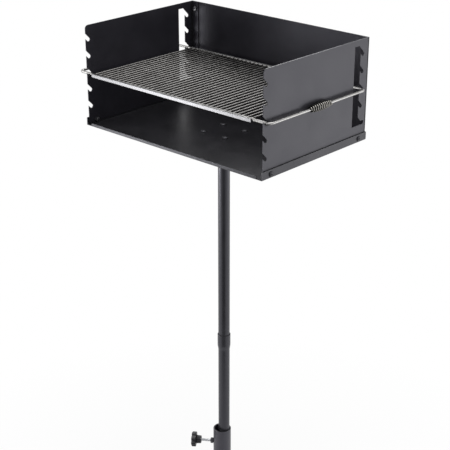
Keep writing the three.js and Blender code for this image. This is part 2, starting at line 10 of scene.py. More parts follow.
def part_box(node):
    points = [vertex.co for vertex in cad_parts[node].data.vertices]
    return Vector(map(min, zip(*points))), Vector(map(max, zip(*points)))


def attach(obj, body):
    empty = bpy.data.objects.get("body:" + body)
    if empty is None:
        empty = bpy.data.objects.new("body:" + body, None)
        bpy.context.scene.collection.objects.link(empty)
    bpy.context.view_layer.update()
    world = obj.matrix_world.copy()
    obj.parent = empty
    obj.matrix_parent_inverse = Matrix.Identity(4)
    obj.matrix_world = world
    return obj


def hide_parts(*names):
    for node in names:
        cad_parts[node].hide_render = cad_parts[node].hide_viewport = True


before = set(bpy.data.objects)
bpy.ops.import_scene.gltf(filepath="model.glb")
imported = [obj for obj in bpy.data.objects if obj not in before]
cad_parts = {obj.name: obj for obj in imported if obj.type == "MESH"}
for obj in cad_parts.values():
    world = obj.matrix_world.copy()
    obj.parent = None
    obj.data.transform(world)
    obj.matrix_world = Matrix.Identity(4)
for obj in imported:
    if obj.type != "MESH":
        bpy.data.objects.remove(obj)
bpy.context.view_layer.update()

MM = 0.001
UP = Vector((0, 0, 1))
RIGHT = Vector((1, 0, 0))
REAR = Vector((0, 1, 0))
QUARTER_TURN = math.pi / 2
HEX_SIDES = 6

# Camera
CAMERA_PLACE = (1.9371, -2.0943, 2.2317)
CAMERA_TILT = 66.58
CAMERA_TURN = 42.60
CAMERA_LENS = 92.576
CAMERA_SENSOR = 36
CAMERA_FAR_LIMIT = 100
# Direction from the grill to the camera, in degrees from the X axis
CAMERA_BEARING = CAMERA_TURN - 90

# Light and floor
SKY_LEVEL = 0.45
FLOOR_RADIUS = 9.0
FLOOR_SIDES = 96
FLOOR_TONE = 0.86
FLOOR_ROUGHNESS = 0.8
FLOOR_WHITE_SHARE = 0.8
FLOOR_FADE_START = 0.35
FLOOR_FADE_END = 1.2
FLAG_NEAR = 0.9
FLAG_FAR = 5.0
FLAG_HALF_ANGLE = 32
FLAG_STEPS = 8
FLAG_TURN = -5
FLAG_TONE = 0.12
FLAG_ROUGHNESS = 0.9
FLAG_LIFT = 0.004
# name, place, aimed at, size, power in watts
SOFT_BOXES = (
    ("overhead_softbox", (0.3, 0.5, 4.2), (0, 0, 1.2), 2.6, 80),
    ("right_softbox", (1.9, 1.75, 0.75), (0, 0, 1.1), 1.3, 12),
    ("left_softbox", (-3.0, -2.4, 1.6), (0, 0, 1.1), 1.8, 36),
    ("low_front_softbox", (-0.95, -1.05, 0.8), (0, -0.2, 1.27), 0.5, 6.6),
    ("edge_softbox", (-0.38, 0.74, 1.97), (0.3, 0, 1.52), 0.35, 2.2),
)

# Coats and metals; the tint gives the black coats a slightly blue cast
COOL_TINT = (0.88, 0.875, 1.0)
# Painted shade in crevices and under ledges: its dark tone, and the roughness it adds there
PAINTED_SHADE_TONE = (0.003, 0.003, 0.003)
DUST_DULLING = 0.3
SHADE_MASK_DULLING = 0.5
METAL_MOTTLE_SCALE = 42.0

# Colour sockets of a Mix node, which come after its number and vector sockets
MIX_COLOUR_INPUTS = (6, 7)
MIX_COLOUR_OUTPUT = 2

# Sheet metal, and the smoothing of every piece
SHEET_BEVEL = 0.45 * MM
FLANGE_BEVEL = 0.6 * MM
SMOOTH_ANGLE = 40
BEVEL_ANGLE = 28
BEVEL_STEPS = 2
COPLANAR_ANGLE = 0.4
MERGE_REACH = 0.002 * MM

# Fasteners
SHEET_SCREW = {"radius": 3 * MM, "pitch": 1.0 * MM, "head_height": 3.4 * MM, "nut_bore": 2.9 * MM}
FLANGE_SCREW = {"radius": 4 * MM, "pitch": 1.25 * MM, "head_height": 4.4 * MM, "nut_bore": 3.9 * MM}
FLANGE_SCREW_COUNT = 4
SCREW_SIDES = 32
SCREW_TIP_SHARE = 0.6
SCREW_RUNOUT_SHARE = 0.4
SCREW_NECK_SHARE = 0.98
SCREW_SOCKET_RADIUS = 2.3 * MM
SCREW_SOCKET_DEPTH = 1.7 * MM
RIDGE_DEPTH_SHARE = 0.54
RIDGE_CREST_SHARES = (0.4, 0.6)
RIDGE_FOOT_SHARE = 0.98
HEAD_STEPS = 9
HEAD_SWEEP_SHARE = 0.98
HEAD_SIDE_POWER = 0.8
HEAD_TOP_POWER = 0.9
NUT_SIDES = 48
NUT_CHAMFER_ANGLE = 30
NUT_FACE_SHARE = 0.94
NUT_MOUTH_SHARE = 1.12

# Grate
ROD_RADIUS = 3.5 * MM
ROD_BEND = 12 * MM
ROD_BEND_STEPS = 10
ROD_SIDES = 20
BAR_COUNT = 38
BAR_PITCH = 14.6 * MM
BAR_RADIUS = 2.5 * MM
BAR_RISE = 0.6 * MM
BAR_STEPS = 4
BAR_SIDES = 14
WELD_SPOT_RADIUS = 3.1 * MM
WELD_SPOT_STEPS = 6
WELD_SPOT_SIDES = 10
WELD_SPOT_SQUAT_SHARES = (1.05, 0.9, 0.8)
WELD_SPOT_INSET_SHARE = 0.85
WELD_SPOT_DROP_SHARE = 0.3
FRAME_BAR_BEVEL = 0.7 * MM
FRAME_WELD_PITCH = 73 * MM
FRAME_WELD_LENGTH = 14 * MM
FRAME_WELD_RADIUS = 1.7 * MM
FRAME_WELD_SINK_SHARE = 0.6
FRAME_WELD_HEIGHT_SHARE = 0.8
FRAME_WELD_END_SHARE = 0.25
FRAME_WELD_TAPER_POWER = 0.4
FRAME_WELD_RIPPLE_SHARE = 0.12
FRAME_WELD_RIPPLE_ANGLE = 22
FRAME_WELD_ROWS = 25
FRAME_WELD_SIDES = 10

# Coil grips
WIRE_RADIUS = 1.5 * MM
WIRE_SIDES = 12
GRIP_RADIUS = 10.3 * MM
GRIP_END_GAP = 0.2 * MM
GRIP_PITCH = 7.13 * MM
GRIP_TURNS = 11
GRIP_TURN_STEPS = 28
GRIP_FULLNESS = 0.9

# Pole
TUBE_WALL = 1.6 * MM
TUBE_EDGE = 0.3 * MM
BELL_WALL = 1.8 * MM
BELL_LENGTH = 32 * MM
BELL_TAPER = 18 * MM
BELL_TAPER_STEPS = 8
BELL_LIP_START = 1.28 * MM
BELL_LIP_INNER = 0.4 * MM
BELL_LIP_SHARE = 0.49
BELL_LIP_STEPS = 4
SLEEVE_BEVEL = 0.4 * MM
ROUND_SIDES = 72
PLATE_WELD = 3.2 * MM
BASE_WELD = 4 * MM
WELD_RIPPLE_PITCH = 2.4 * MM
WELD_RIPPLE_DEPTH = 0.35 * MM
WELD_OVERLAP = 0.1 * MM
WELD_FIT_SHARE = 0.98
WELD_ROWS = 120
WELD_FACE_POINTS = 7

# Clamp
CLAMP_BEARING = 215
CLAMP_HEIGHT = 308.3 * MM
CLAMP_NUT_PLAY = 0.05 * MM
STEM_RADIUS = 4 * MM
STEM_PITCH = 1.25 * MM
STEM_THREAD_DEPTH = 0.6 * MM
STEM_START = 11.4 * MM
STEM_END = 79.5 * MM
THREAD_SIDES = 24
THREAD_TURN_ROWS = 6
THREAD_FADE_TURNS = 1.5
THREAD_FLANK_SLOPE = 2.6
KNOB_REACH = 61.5 * MM
KNOB_HUB_RADIUS = 12.5 * MM
KNOB_HUB_DRAFT = 1.2 * MM
KNOB_HUB_LENGTH = 14.5 * MM
KNOB_HUB_EDGE = 0.7 * MM
KNOB_HUB_HEIGHT_SHARES = (0, 0.04, 0.25, 0.5, 0.75, 0.98)
KNOB_THROAT_DEPTH = 0.6 * MM
KNOB_THROAT_GAP = 0.4 * MM
KNOB_THROAT_FLARE = 1.0 * MM
KNOB_RIB = 0.45 * MM
KNOB_RIB_POWER = 3
KNOB_RIM_LENGTH = 13 * MM
KNOB_RADIUS = 22 * MM
KNOB_VALLEY = 4.2 * MM
KNOB_VALLEY_POWER = 4
KNOB_EDGE = 2.2 * MM
KNOB_LOBES = 7
KNOB_LOBE_STEPS = 24
KNOB_EDGE_STEPS = 5
KNOB_DISH_SHARE = 0.62
KNOB_DISH_DEPTH = 1.2 * MM
KNOB_DISH_LIP = 0.5 * MM
KNOB_DISH_LIP_DROP = 0.3 * MM
KNOB_DISH_WALL = 0.6 * MM
# Depth of the dish half way in and at its middle, as shares of its full depth
KNOB_DISH_CROWN_SHARES = (0.85, 0.8)


# Node groups


def node_group(name, inputs, outputs):
    """Starts a shader group with named float inputs and outputs."""
    tree = bpy.data.node_groups.new(name, "ShaderNodeTree")
    for label, value in inputs:
        socket = tree.interface.new_socket(name=label, in_out="INPUT", socket_type="NodeSocketFloat")
        socket.default_value = value
    for label in outputs:
        tree.interface.new_socket(name=label, in_out="OUTPUT", socket_type="NodeSocketFloat")
    return tree, tree.nodes.new("NodeGroupInput"), tree.nodes.new("NodeGroupOutput")


def feed(tree, socket, value):
    """Links another node's socket to an input, or sets the input to a number, vector or colour."""
    if isinstance(value, bpy.types.NodeSocket):
        tree.links.new(value, socket)
    else:
        socket.default_value = value


def operation_node(tree, kind, operation, values):
    """A node that has an operation, with its inputs fed in order."""
    node = tree.nodes.new(kind)
    node.operation = operation
    for socket, value in zip(node.inputs, values):
        feed(tree, socket, value)
    return node


def math_node(tree, operation, first, second):
    """Output of a Math node."""
    return operation_node(tree, "ShaderNodeMath", operation, (first, second)).outputs[0]


def vector_node(tree, operation, *values):
    """A Vector Math node."""
    return operation_node(tree, "ShaderNodeVectorMath", operation, values)


def remap(tree, value, from_low, from_high, to_low=0.0, to_high=1.0):
    """Output of a clamped Map Range node."""
    node = tree.nodes.new("ShaderNodeMapRange")
    for label, given in (
        ("Value", value),
        ("From Min", from_low),
        ("From Max", from_high),
        ("To Min", to_low),
        ("To Max", to_high),
    ):
        feed(tree, node.inputs[label], given)
    return node.outputs["Result"]


def object_noise(tree, scale, detail, roughness=0.5):
    """Noise in the piece's own coordinates; scale is a socket."""
    place = tree.nodes.new("ShaderNodeTexCoord")
    noise = tree.nodes.new("ShaderNodeTexNoise")
    tree.links.new(place.outputs["Object"], noise.inputs["Vector"])
    noise.inputs["Detail"].default_value = detail
    noise.inputs["Roughness"].default_value = roughness
    tree.links.new(scale, noise.inputs["Scale"])
    return noise.outputs["Fac"]


def make_grain_group():
    """Fine pebbled skin of powder coat or moulded plastic, and a slow mottle over it."""
    tree, given, out = node_group(
        "surface_grain", (("Grain Scale", 900.0), ("Mottle Scale", 14.0)), ("Height", "Mottle")
    )
    place = tree.nodes.new("ShaderNodeTexCoord")
    cells = tree.nodes.new("ShaderNodeTexVoronoi")
    cells.feature = "SMOOTH_F1"
    tree.links.new(place.outputs["Object"], cells.inputs["Vector"])
    tree.links.new(given.outputs["Grain Scale"], cells.inputs["Scale"])
    fine = object_noise(tree, given.outputs["Grain Scale"], detail=2.0)
    pebbles = remap(tree, cells.outputs["Distance"], from_low=0.0, from_high=0.9, to_low=1.0, to_high=0.0)
    height = math_node(tree, "ADD", pebbles, fine)
    tree.links.new(math_node(tree, "MULTIPLY", height, 0.5), out.inputs["Height"])
    slow = object_noise(tree, given.outputs["Mottle Scale"], detail=4.0, roughness=0.6)
    tree.links.new(remap(tree, slow, from_low=0.3, from_high=0.7), out.inputs["Mottle"])
    return tree


def make_edge_wear_group():
    """Broken light rubbing along convex edges."""
    tree, given, out = node_group(
        "edge_wear", (("Reach", 1.2 * MM), ("Breakup Scale", 160.0), ("Amount", 0.6)), ("Mask",)
    )
    bevel = tree.nodes.new("ShaderNodeBevel")
    bevel.samples = 4
    tree.links.new(given.outputs["Reach"], bevel.inputs["Radius"])
    geometry = tree.nodes.new("ShaderNodeNewGeometry")
    facing = vector_node(tree, "DOT_PRODUCT", bevel.outputs["Normal"], geometry.outputs["Normal"])
    near_edge = remap(tree, facing.outputs["Value"], from_low=0.995, from_high=0.86)
    patches = object_noise(tree, given.outputs["Breakup Scale"], detail=3.0, roughness=0.7)
    broken = remap(tree, patches, from_low=0.42, from_high=0.68)
    mask = math_node(tree, "MULTIPLY", near_edge, broken)
    tree.links.new(math_node(tree, "MULTIPLY", mask, given.outputs["Amount"]), out.inputs["Mask"])
    return tree


def make_dust_group():
    """Thin dust that settles on faces turned upwards, and faint wiped smudges elsewhere; on the knob it is
    also painted light on the upward faces.
    """
    tree, given, out = node_group(
        "settled_dust", (("Patch Scale", 26.0), ("Upward", 0.5), ("Smudge", 0.15)), ("Mask",)
    )
    geometry = tree.nodes.new("ShaderNodeNewGeometry")
    parts = tree.nodes.new("ShaderNodeSeparateXYZ")
    tree.links.new(geometry.outputs["Normal"], parts.inputs[0])
    upward = remap(tree, parts.outputs["Z"], from_low=0.35, from_high=1.0)
    cloud = object_noise(tree, given.outputs["Patch Scale"], detail=5.0, roughness=0.62)
    patches = remap(tree, cloud, from_low=0.38, from_high=0.72)
    lying = math_node(tree, "MULTIPLY", upward, patches)
    settled = math_node(tree, "MULTIPLY", lying, given.outputs["Upward"])
    smudged = math_node(tree, "MULTIPLY", patches, given.outputs["Smudge"])
    tree.links.new(math_node(tree, "ADD", settled, smudged), out.inputs["Mask"])
    return tree


def make_crevice_shade_group():
    """1 in tight corners and under ledges, where shade falls, 0 on open faces: the mask of painted shade.
    """
    tree, given, out = node_group("crevice_painted_shade", (("Reach", 10 * MM),), ("Mask",))
    shade = tree.nodes.new("ShaderNodeAmbientOcclusion")
    shade.samples = 8
    tree.links.new(given.outputs["Reach"], shade.inputs["Distance"])
    tree.links.new(remap(tree, shade.outputs["AO"], from_low=0.93, from_high=0.66), out.inputs["Mask"])
    return tree


def make_inner_shade_group():
    """1 where a wound wire faces out from the piece's Y axis, 0 on its inner side, which gets painted
    shade.
    """
    tree, given, out = node_group("inner_shade", (("Low", 0.38), ("High", 0.9)), ("Mask",))
    place = tree.nodes.new("ShaderNodeTexCoord")
    # Generated runs from 0 to 1 over the piece, so its middle lies at 0.5
    radial = vector_node(tree, "MULTIPLY_ADD", place.outputs["Generated"], (1, 0, 1), (-0.5, 0, -0.5))
    outward = vector_node(tree, "NORMALIZE", radial.outputs["Vector"])
    facing = vector_node(tree, "DOT_PRODUCT", outward.outputs["Vector"], place.outputs["Normal"])
    lit = remap(tree, facing.outputs["Value"], given.outputs["Low"], given.outputs["High"])
    tree.links.new(lit, out.inputs["Mask"])
    return tree


GRAIN = make_grain_group()
EDGE_WEAR = make_edge_wear_group()
DUST = make_dust_group()
CREVICE = make_crevice_shade_group()
INNER_SHADE = make_inner_shade_group()


# Materials


def placed_group(material, group, **values):
    """Places a group in a material; values are given by input name with _ for a space."""
    node = material.node_tree.nodes.new("ShaderNodeGroup")
    node.node_tree = group
    for label, value in values.items():
        node.inputs[label.replace("_", " ").title()].default_value = value
    return node


def colour_mix(material, mask, first, second):
    """A colour Mix node; each colour is a socket or an RGB triple."""
    tree = material.node_tree
    mix = tree.nodes.new("ShaderNodeMix")
    mix.data_type = "RGBA"
    tree.links.new(mask, mix.inputs["Factor"])
    for index, value in zip(MIX_COLOUR_INPUTS, (first, second)):
        feed(tree, mix.inputs[index], (*value, 1) if isinstance(value, tuple) else value)
    return mix.outputs[MIX_COLOUR_OUTPUT]


def bumped(material, shader, height, strength, distance):
    """Feeds a height through a Bump node into the shader's normal."""
    tree = material.node_tree
    bump = tree.nodes.new("ShaderNodeBump")
    bump.inputs["Strength"].default_value = strength
    bump.inputs["Distance"].default_value = distance
    tree.links.new(height, bump.inputs["Height"])
    tree.links.new(bump.outputs["Normal"], shader.inputs["Normal"])


def new_material(name):
    """An empty node material with its Principled shader."""
    material = bpy.data.materials.new(name)
    material.use_nodes = True
    return material, material.node_tree.nodes["Principled BSDF"]


def coat_material(name, tones, rough, grain, wear, dust, ior=1.5):
    """Powder coat, blackened steel or moulded plastic: grain, mottle, rubbed edges, dust, and painted
    shade in crevices.
    """
    material, shader = new_material(name)
    tree = material.node_tree
    skin = placed_group(material, GRAIN, grain_scale=grain["scale"], mottle_scale=grain["mottle"])
    rubbed = placed_group(material, EDGE_WEAR, **wear)
    settled = placed_group(material, DUST, **dust)
    colour = colour_mix(material, skin.outputs["Mottle"], tones["deep"], tones["light"])
    colour = colour_mix(material, settled.outputs["Mask"], colour, tones["dust"])
    colour = colour_mix(material, rubbed.outputs["Mask"], colour, tones["worn"])
    # Painted shade: a dark tone and more roughness in crevices, where shade falls
    shade_in_crevices = placed_group(material, CREVICE)
    colour = colour_mix(material, shade_in_crevices.outputs["Mask"], colour, PAINTED_SHADE_TONE)
    tree.links.new(colour, shader.inputs["Base Color"])
    sheen = remap(tree, skin.outputs["Mottle"], 0.0, 1.0, *rough)
    dusted = math_node(tree, "MULTIPLY", settled.outputs["Mask"], DUST_DULLING)
    crevice_dulled = math_node(tree, "MULTIPLY", shade_in_crevices.outputs["Mask"], SHADE_MASK_DULLING)
    dulled = math_node(tree, "ADD", dusted, crevice_dulled)
    tree.links.new(math_node(tree, "ADD", sheen, dulled), shader.inputs["Roughness"])
    shader.inputs["IOR"].default_value = ior
    shader.inputs["Specular Tint"].default_value = (*COOL_TINT, 1)
    bumped(material, shader, skin.outputs["Height"], grain["strength"], grain["depth"])
    return material


def metal_material(name, tones, rough, grain):
    """Bare or plated steel: mottle, fine grain and thin dust; painted shade in crevices and on inner sides
    only where given.
    """
    material, shader = new_material(name)
    tree = material.node_tree
    skin = placed_group(material, GRAIN, grain_scale=grain["scale"], mottle_scale=METAL_MOTTLE_SCALE)
    settled = placed_group(material, DUST, patch_scale=60.0, upward=0.25, smudge=0.2)
    colour = colour_mix(material, skin.outputs["Mottle"], tones["deep"], tones["light"])
    colour = colour_mix(material, settled.outputs["Mask"], colour, tones["dust"])
    # Painted shade in crevices, where the tones give a shade tone
    if "painted_crevice_shade" in tones:
        shade_in_crevices = placed_group(material, CREVICE)
        colour = colour_mix(material, shade_in_crevices.outputs["Mask"], colour, tones["painted_crevice_shade"])
    # Painted shade on the inner side of a wound wire, which the turns shade
    if "inner" in tones:
        shade = placed_group(material, INNER_SHADE)
        colour = colour_mix(material, shade.outputs["Mask"], tones["inner"], colour)
    tree.links.new(colour, shader.inputs["Base Color"])
    sheen = remap(tree, skin.outputs["Mottle"], 0.0, 1.0, *rough)
    tree.links.new(sheen, shader.inputs["Roughness"])
    shader.inputs["Metallic"].default_value = 1.0
    bumped(material, shader, skin.outputs["Height"], grain["strength"], grain["depth"])
    return material


SHEET_GRAIN = {"scale": 1300.0, "mottle": 11.0, "strength": 0.35, "depth": 0.06 * MM}
SHEET_DUST = {"upward": 0.05, "smudge": 0.05}
BOX_COAT = coat_material(
    "satin_black_powder_coat",
    tones={
        "deep": (0.0185, 0.0178, 0.0225),
        "light": (0.0255, 0.0245, 0.031),
        "dust": (0.07, 0.07, 0.07),
        "worn": (0.22, 0.22, 0.235),
    },
    rough=(0.3, 0.38),
    grain=SHEET_GRAIN,
    wear={"reach": 1.1 * MM, "amount": 0.8},
    dust=SHEET_DUST,
    ior=1.38,
)
# Darker than the box's coat, painted shade for the tray floor; its light worn edges are partly wear and
# partly a painted highlight along the lip
TRAY_COAT = coat_material(
    "darker_black_powder_coat",
    tones={
        "deep": (0.008, 0.0078, 0.0092),
        "light": (0.012, 0.0117, 0.0138),
        "dust": (0.05, 0.05, 0.05),
        "worn": (0.32, 0.32, 0.335),
    },
    rough=(0.3, 0.38),
    grain=SHEET_GRAIN,
    wear={"reach": 1.6 * MM, "amount": 0.9},
    dust=SHEET_DUST,
    ior=1.38,
)
POLE_COAT = coat_material(
    "satin_charcoal_pole_coat",
    tones={
        "deep": (0.006, 0.006, 0.007),
        "light": (0.01, 0.01, 0.0115),
        "dust": (0.07, 0.07, 0.07),
        "worn": (0.1, 0.1, 0.11),
    },
    rough=(0.3, 0.38),
    grain={"scale": 1500.0, "mottle": 18.0, "strength": 0.3, "depth": 0.05 * MM},
    wear={"reach": 1.0 * MM, "amount": 0.5},
    dust={"upward": 0.2, "smudge": 0.05},
    ior=1.62,
)
SLEEVE_COAT = coat_material(
    "weathered_sleeve_coat",
    tones={
        "deep": (0.0185, 0.0172, 0.022),
        "light": (0.028, 0.026, 0.033),
        "dust": (0.12, 0.12, 0.12),
        "worn": (0.16, 0.16, 0.17),
    },
    rough=(0.32, 0.42),
    grain={"scale": 1300.0, "mottle": 15.0, "strength": 0.35, "depth": 0.06 * MM},
    wear={"reach": 1.2 * MM, "amount": 0.6},
    dust={"upward": 0.25, "smudge": 0.08},
    ior=1.62,
)
BLACK_STEEL = coat_material(
    "blackened_screw_steel",
    tones={
        "deep": (0.008, 0.008, 0.009),
        "light": (0.013, 0.013, 0.014),
        "dust": (0.07, 0.07, 0.07),
        "worn": (0.1, 0.1, 0.1),
    },
    rough=(0.3, 0.4),
    grain={"scale": 2600.0, "mottle": 90.0, "strength": 0.25, "depth": 0.03 * MM},
    wear={"reach": 0.5 * MM, "amount": 0.8},
    dust={"upward": 0.1, "smudge": 0.03},
)
NUT_STEEL = metal_material(
    "dull_nut_steel",
    tones={"deep": (0.27, 0.27, 0.285), "light": (0.42, 0.42, 0.435), "dust": (0.28, 0.28, 0.28)},
    rough=(0.3, 0.44),
    grain={"scale": 2600.0, "strength": 0.25, "depth": 0.03 * MM},
)
# Its pale dust on upward faces is partly dust and partly painted light: the tops lighter, as if lit from
# above
KNOB_PLASTIC = coat_material(
    "moulded_black_plastic",
    tones={
        "deep": (0.004, 0.004, 0.0045),
        "light": (0.007, 0.007, 0.0075),
        "dust": (0.26, 0.26, 0.26),
        "worn": (0.05, 0.05, 0.05),
    },
    rough=(0.26, 0.36),
    grain={"scale": 2300.0, "mottle": 60.0, "strength": 0.3, "depth": 0.05 * MM},
    wear={"reach": 0.9 * MM, "amount": 0.4},
    dust={"upward": 1.0, "smudge": 0.06},
    ior=1.36,
)
PLATED_ROD = metal_material(
    "bright_plated_rod",
    tones={
        "deep": (0.3, 0.295, 0.29),
        "light": (0.42, 0.415, 0.41),
        "dust": (0.3, 0.29, 0.27),
        # Painted shade: darkens the rod in crevices, as inside the coil grips
        "painted_crevice_shade": (0.02, 0.019, 0.018),
    },
    rough=(0.22, 0.34),
    grain={"scale": 1800.0, "strength": 0.2, "depth": 0.03 * MM},
)
PLATED_FLAT = metal_material(
    "bright_plated_flat_bar",
    tones={"deep": (0.15, 0.15, 0.156), "light": (0.22, 0.22, 0.23), "dust": (0.18, 0.176, 0.172)},
    rough=(0.26, 0.38),
    grain={"scale": 1500.0, "strength": 0.2, "depth": 0.03 * MM},
)
SMOKED_BAR = metal_material(
    "heat_dulled_bar",
    tones={"deep": (0.13, 0.125, 0.12), "light": (0.2, 0.195, 0.19), "dust": (0.14, 0.135, 0.13)},
    rough=(0.34, 0.5),
    grain={"scale": 1600.0, "strength": 0.3, "depth": 0.04 * MM},
)
COIL_WIRE = metal_material(
    "dull_spring_wire",
    tones={
        "deep": (0.29, 0.28, 0.26),
        "light": (0.43, 0.415, 0.385),
        "dust": (0.3, 0.285, 0.26),
        # Painted shade on the wire's inner side
        "inner": (0.008, 0.008, 0.008),
    },
    rough=(0.22, 0.34),
    grain={"scale": 2200.0, "strength": 0.25, "depth": 0.03 * MM},
)
ZINC_THREAD = metal_material(
    "zinc_plated_thread",
    tones={"deep": (0.55, 0.56, 0.58), "light": (0.7, 0.71, 0.73), "dust": (0.4, 0.4, 0.4)},
    rough=(0.24, 0.36),
    grain={"scale": 2400.0, "strength": 0.2, "depth": 0.03 * MM},
)


# Mesh helpers


def finished(obj, material, body, nodes=()):
    """Gives a piece its material, sets it on its body and puts it in place of CAD nodes."""
    obj.data.materials.clear()
    obj.data.materials.append(material)
    obj.data.shade_smooth()
    obj.data.set_sharp_from_angle(angle=math.radians(SMOOTH_ANGLE))
    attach(obj, body)
    if nodes:
        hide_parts(*nodes)
    return obj


def linked_object(name, data):
    """A new object in the scene for a mesh, a lamp or the camera."""
    obj = bpy.data.objects.new(name, data)
    bpy.context.scene.collection.objects.link(obj)
    return obj


def mesh_object(name, verts, faces, place=None):
    """A mesh object from points and faces, moved by the matrix place where one is given."""
    mesh = bpy.data.meshes.new(name)
    mesh.from_pydata([tuple(v) for v in verts], [], faces)
    if place is not None:
        mesh.transform(place)
    shape = bmesh.new()
    shape.from_mesh(mesh)
    bmesh.ops.recalc_face_normals(shape, faces=shape.faces)
    shape.to_mesh(mesh)
    shape.free()
    return linked_object(name, mesh)


def joined(name, parts, place=None):
    """One mesh object from several (points, faces) shells."""
    verts, faces = [], []
    for part_verts, part_faces in parts:
        start = len(verts)
        verts.extend(part_verts)
        faces.extend([start + i for i in face] for face in part_faces)
    return mesh_object(name, verts, faces, place)


def on_circle(radius, angle, z=0.0):
    """The point at a radius and an angle about Z, at a height."""
    return Vector((radius * math.cos(angle), radius * math.sin(angle), z))


def band_faces(rows, around, looped=False):
    """Quads between rows of points, each a ring; looped joins the last row to the first."""
    faces = []
    for row in range(rows if looped else rows - 1):
        here, there = row * around, (row + 1) % rows * around
        for k in range(around):
            after = (k + 1) % around
            faces.append([here + k, here + after, there + after, there + k])
    return faces


def end_faces(rows, around):
    """Flat faces on the first and the last row of points."""
    return [list(range(around - 1, -1, -1)), list(range((rows - 1) * around, rows * around))]


def turned(profile, sides):
    """Points and faces of a closed (radius, height) profile turned about Z; radius 0 is one point."""
    verts, rings, faces = [], [], []
    for radius, height in profile:
        if radius <= 0:
            rings.append([len(verts)] * sides)
            verts.append(Vector((0, 0, height)))
        else:
            rings.append(list(range(len(verts), len(verts) + sides)))
            verts.extend(on_circle(radius, math.tau * k / sides, height) for k in range(sides))
    is_open = profile[0][0] <= 0 and profile[-1][0] <= 0
    spans = len(profile) - 1 if is_open else len(profile)
    for i in range(spans):
        low, high = rings[i], rings[(i + 1) % len(rings)]
        for k in range(sides):
            after = (k + 1) % sides
            face = [low[k], low[after], high[after], high[k]]
            face = [v for n, v in enumerate(face) if v not in face[:n]]
            if len(face) > 2:
                faces.append(face)
    return verts, faces


def swept(path, radius, sides, closed=False):
    """Points and faces of a round wire along a path, with flat ends where it is open."""
    count = len(path)
    tangents = []
    for i in range(count):
        before = path[(i - 1) % count] if closed or i > 0 else path[0]
        after = path[(i + 1) % count] if closed or i < count - 1 else path[-1]
        tangents.append((after - before).normalized())
    normal = tangents[0].orthogonal().normalized()
    verts = []
    for i in range(count):
        if i > 0:
            normal = tangents[i - 1].rotation_difference(tangents[i]) @ normal
        side = tangents[i].cross(normal)
        for k in range(sides):
            angle = math.tau * k / sides
            verts.append(path[i] + radius * (math.cos(angle) * normal + math.sin(angle) * side))
    faces = band_faces(count, sides, looped=closed)
    if not closed:
        faces += end_faces(count, sides)
    return verts, faces


def frame_along(point, axis, across=None):
    """Matrix that puts local Z on an axis at a point, with local X near a given direction."""
    axis = axis.normalized()
    across = (across or axis.orthogonal()).normalized()
    across = (across - across.dot(axis) * axis).normalized()
    other = axis.cross(across)
    turn = Matrix((across, other, axis)).transposed().to_4x4()
    return Matrix.Translation(point) @ turn


def extent_along(node, axis):
    """Middle of a CAD node, and its lowest and highest reach along an axis from that middle."""
    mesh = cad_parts[node].data
    low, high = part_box(node)
    middle = (low + high) / 2
    reach = [(v.co - middle).dot(axis) for v in mesh.vertices]
    return middle, min(reach), max(reach)


def corner_of(node, middle, axis):
    """Vector from a CAD node's axis to its farthest point, square to the axis."""
    arms = []
    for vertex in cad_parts[node].data.vertices:
        arm = vertex.co - middle
        arms.append(arm - arm.dot(axis) * axis)
    return max(arms, key=lambda arm: arm.length)


def dressed(node, material, body, bevel_width):
    """A CAD node's shape as a clean piece of its own: flat faces merged, edges rounded, curves smooth."""
    shape = bmesh.new()
    shape.from_mesh(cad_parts[node].data)
    bmesh.ops.remove_doubles(shape, verts=shape.verts, dist=MERGE_REACH)
    bmesh.ops.dissolve_limit(
        shape, angle_limit=math.radians(COPLANAR_ANGLE), verts=shape.verts, edges=shape.edges
    )
    mesh = bpy.data.meshes.new(f"{node}_skin")
    shape.to_mesh(mesh)
    shape.free()
    obj = linked_object(f"{node}_skin", mesh)
    finished(obj, material, body, (node,))
    rounded = obj.modifiers.new("edge_rounding", "BEVEL")
    rounded.width = bevel_width
    rounded.segments = BEVEL_STEPS
    rounded.limit_method = "ANGLE"
    rounded.angle_limit = math.radians(BEVEL_ANGLE)
    rounded.use_clamp_overlap = True
    weighted = obj.modifiers.new("flat_faces", "WEIGHTED_NORMAL")
    weighted.keep_sharp = True
    return obj


# Fasteners


def ridged_shank(radius, pitch, start, end):
    """Profile points of a ridged shank from start to end, inside the full radius."""
    root = radius - RIDGE_DEPTH_SHARE * pitch
    crest_start, crest_end = RIDGE_CREST_SHARES
    count = max(2, int((end - start) / pitch))
    step = (end - start) / count
    points = []
    for i in range(count):
        z = start + i * step
        points += [
            (root, z),
            (radius, z + crest_start * step),
            (radius, z + crest_end * step),
            (root, z + RIDGE_FOOT_SHARE * step),
        ]
    return points


def screw_profile(sizes, head_radius, shank_length):
    """A domed head on a ridged shank, from the tip to the top of the head."""
    radius, pitch, head_height = sizes["radius"], sizes["pitch"], sizes["head_height"]
    runout = pitch * SCREW_RUNOUT_SHARE
    points = [(0, -shank_length), (radius - pitch * SCREW_TIP_SHARE, -shank_length)]
    points += ridged_shank(radius, pitch, -shank_length + runout, -runout)
    points += [(radius * SCREW_NECK_SHARE, 0), (head_radius, 0)]
    for i in range(1, HEAD_STEPS):
        angle = QUARTER_TURN * i / HEAD_STEPS
        reach = head_radius * math.cos(angle * HEAD_SWEEP_SHARE) ** HEAD_SIDE_POWER
        points.append((reach, head_height * math.sin(angle) ** HEAD_TOP_POWER))
    points.append((0, head_height))
    return points


def screw_piece(node, axis, sizes, socket):
    """A screw over its CAD node, with its head at the end that the axis points to."""
    middle, low, high = extent_along(node, axis)
    head_radius = corner_of(node, middle, axis).length
    seat = high - sizes["head_height"]
    shell = turned(screw_profile(sizes, head_radius, seat - low), SCREW_SIDES)
    obj = joined(f"{node}_screw", [shell], frame_along(middle + axis * seat, axis))
    if socket:
        cut_socket(obj, frame_along(middle + axis * high, axis))
    return finished(obj, BLACK_STEEL, "fire_box", (node,))


